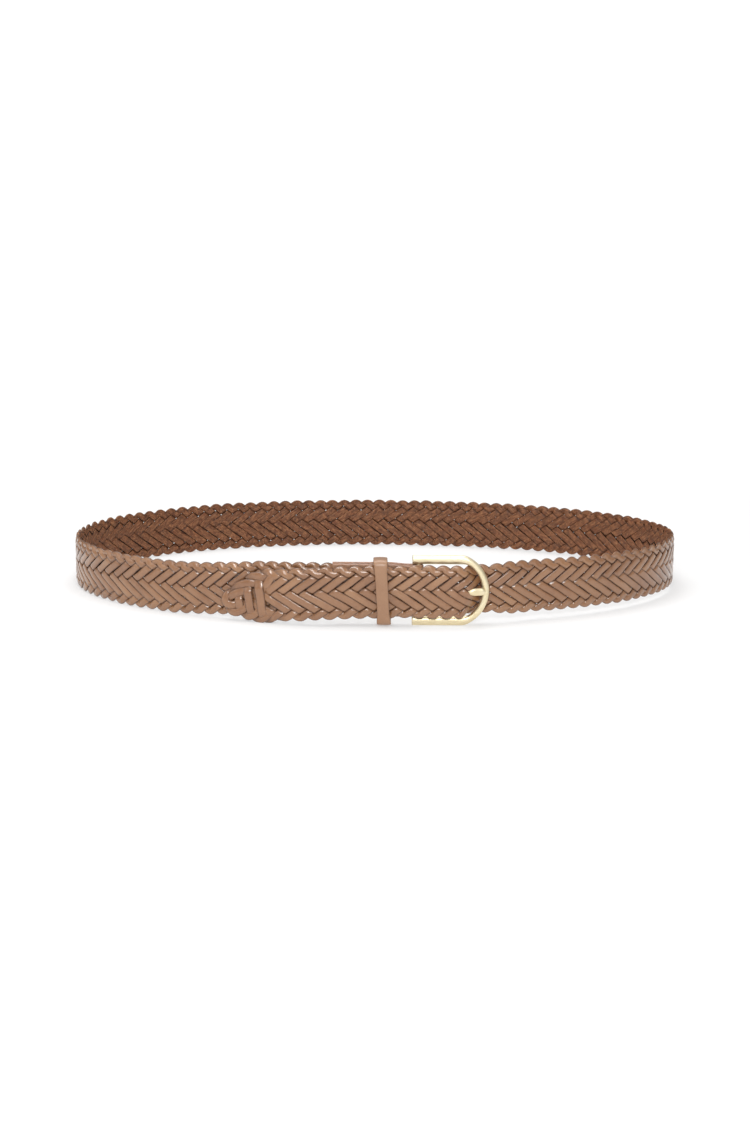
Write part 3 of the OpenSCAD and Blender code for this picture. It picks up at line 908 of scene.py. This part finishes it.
def build_stitches(name, node):
    """A row of stitches on both faces of the tab, where the CAD row is."""
    low, high = mm_box(node)
    x = (low[0] + high[0]) / 2
    points, faces, along, across = [], [], [], []
    first_z = -(STITCH_HOLES - 1) / 2 * STITCH_PITCH
    for side in (-1, 1):
        for i in range(STITCH_HOLES - 1):
            grid, t, a = stitch_points(x, side, first_z + i * STITCH_PITCH)
            start = len(points)
            quads = tube_faces(*grid.shape[:2])
            faces += [[start + v for v in (f if side > 0 else f[::-1])] for f in quads]
            points += grid.reshape(-1, 3).tolist()
            along += np.repeat(t * STITCH_PITCH, len(a)).tolist()
            across += np.tile(a / 3, len(t)).tolist()
    obj = make_mesh(name, points, faces, THREAD, [("along", along), ("across", across)])
    place(obj, "strap", "thread", node)


def dress_metal_nodes():
    """The bar and the staple keep their own shape."""
    for name in ("buckle_bar", "keeper_staple"):
        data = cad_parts[name].data
        data.materials.clear()
        data.materials.append(BRASS)


# ---- camera and light ----
ELEVATION = math.radians(13.0)
DISTANCE = 1.160
TARGET_Z = 0.015
LENS, SENSOR = 59.2, 36.0
SHIFT = (0.0003, -0.0041)
ROLL = math.radians(0.37)


def link(obj):
    bpy.context.scene.collection.objects.link(obj)
    return obj


def build_camera():
    """A long lens in front of the belt and a little above it."""
    data = bpy.data.cameras.new("camera")
    data.sensor_width, data.lens = SENSOR, LENS
    data.shift_x, data.shift_y = SHIFT
    data.clip_start, data.clip_end = 0.05, 40
    camera = link(bpy.data.objects.new("camera", data))
    camera.location = (0, LOOP_Y * MM - DISTANCE * math.cos(ELEVATION),
                       TARGET_Z + DISTANCE * math.sin(ELEVATION))
    camera.rotation_euler = (math.radians(90) - ELEVATION, 0, 0)
    camera.rotation_euler.rotate_axis("Z", ROLL)
    bpy.context.scene.camera = camera


def softbox(name, place_, size, radiance):
    """A soft light that faces the belt. Its brightness is the same from any distance."""
    data = bpy.data.lights.new(name, "AREA")
    data.shape, data.size, data.size_y = "RECTANGLE", *size
    data.energy = radiance * math.pi * size[0] * size[1]
    light = link(bpy.data.objects.new(name, data))
    light.location = place_
    aim = Vector((0, -0.05, 0.02)) - Vector(place_)
    light.rotation_mode = "QUATERNION"
    light.rotation_quaternion = aim.to_track_quat("-Z", "Y")


def glowing(name, near, far, albedo):
    """A pale matt surface that also glows a little, more so far from the belt, so that it
    stays evenly pale and the shadows on it stay faint."""
    m = Nodes(name)
    away = m.add("VectorMath", {0: m.spot()}, operation="LENGTH").outputs["Value"]
    m.shade(Base_Color=(albedo, albedo, albedo, 1), Roughness=1.0, Specular_IOR_Level=0.0,
            Emission_Color=(1, 1, 1, 1), Emission_Strength=m.ramp(away, 0.35, 1.2, near, far))
    return m.material


def build_stage():
    """A pale floor, and a white backdrop that only the camera sees."""
    bpy.ops.mesh.primitive_circle_add(vertices=96, radius=2.5, fill_type="NGON")
    floor = bpy.context.object
    floor.name = "floor"
    floor.data.materials.append(glowing("floor", 0.42, 0.92, 0.5))
    bpy.ops.mesh.primitive_uv_sphere_add(radius=12)
    dome = bpy.context.object
    dome.name = "backdrop"
    dome.data.materials.append(glowing("backdrop", 1.2, 1.2, 0.0))
    dome.visible_diffuse = dome.visible_glossy = dome.visible_transmission = False
    dome.visible_shadow = False


def build_light():
    """An even room that is brighter overhead, and three softboxes."""
    world = bpy.data.worlds.new("studio")
    world.use_nodes = True
    tree = world.node_tree
    coordinates = tree.nodes.new("ShaderNodeTexCoord")
    split = tree.nodes.new("ShaderNodeSeparateXYZ")
    ramp = tree.nodes.new("ShaderNodeMapRange")
    ramp.inputs["From Min"].default_value, ramp.inputs["From Max"].default_value = 0.0, 0.8
    ramp.inputs["To Min"].default_value, ramp.inputs["To Max"].default_value = 0.2, 0.72
    tree.links.new(coordinates.outputs["Generated"], split.inputs[0])
    tree.links.new(split.outputs["Z"], ramp.inputs["Value"])
    tree.links.new(ramp.outputs["Result"], tree.nodes["Background"].inputs["Strength"])
    tree.nodes["Background"].inputs["Color"].default_value = (1, 1, 1, 1)
    bpy.context.scene.world = world
    softbox("key", (0.0, -1.3, 0.68), (0.6, 0.2), 26.0)
    softbox("overhead", (-0.1, 0.05, 1.25), (1.0, 0.7), 4.0)
    softbox("left", (-1.25, -0.55, 0.7), (0.9, 0.9), 1.0)
    bpy.context.scene.view_settings.view_transform = "Standard"


build_laces()
build_frame()
build_prong()
build_keeper()
build_tab()
build_stitches("stitches_bar", "tab_stitches_bar")
build_stitches("stitches_end", "tab_stitches_end")
dress_metal_nodes()
build_camera()
build_stage()
build_light()
